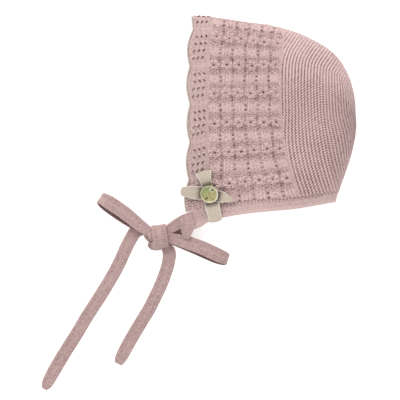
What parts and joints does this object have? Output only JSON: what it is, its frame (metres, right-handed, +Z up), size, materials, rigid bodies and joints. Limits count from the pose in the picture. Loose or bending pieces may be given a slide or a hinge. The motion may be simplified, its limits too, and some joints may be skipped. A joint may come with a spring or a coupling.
{
  "type": "baby bonnet",
  "caption": "Knitted baby bonnet folded flat on its side, with a pierced scalloped face edge, ribbed crown, neck band, ties in a bow, and a small ribbon with a button.",
  "frame": {"origin": "centre of the bounding box, on the surface that the bonnet lies on", "axes": "+Z up off the surface, +X from the face edge to the crown, +Y from the neck edge to the top fold"},
  "size_m": [0.252, 0.2994, 0.0344],
  "materials": {
    "rose_knit": "knitted wool, dusty rose",
    "rose_tie": "fine knitted strap, dusty rose",
    "cream_picot": "cream picot thread",
    "beige_ribbon": "fine woven ribbon, matt",
    "shell": "polished shell, olive and gold",
    "thread": "sewing thread"
  },
  "bodies": {
    "root": {"front_panel": "rose_knit", "back_panel": "rose_knit", "neck_band": "rose_knit", "lace_border": "rose_knit", "lace_edging": "cream_picot", "bow_knot": "rose_tie", "bow_loop_left": "rose_tie", "bow_loop_right": "rose_tie", "tie_tail_left": "rose_tie", "tie_tail_right": "rose_tie", "tie_lead_near": "rose_tie", "tie_lead_far": "rose_tie", "ribbon_bow": "beige_ribbon", "button": "shell", "button_thread": "thread"}
  },
  "joints": []
}
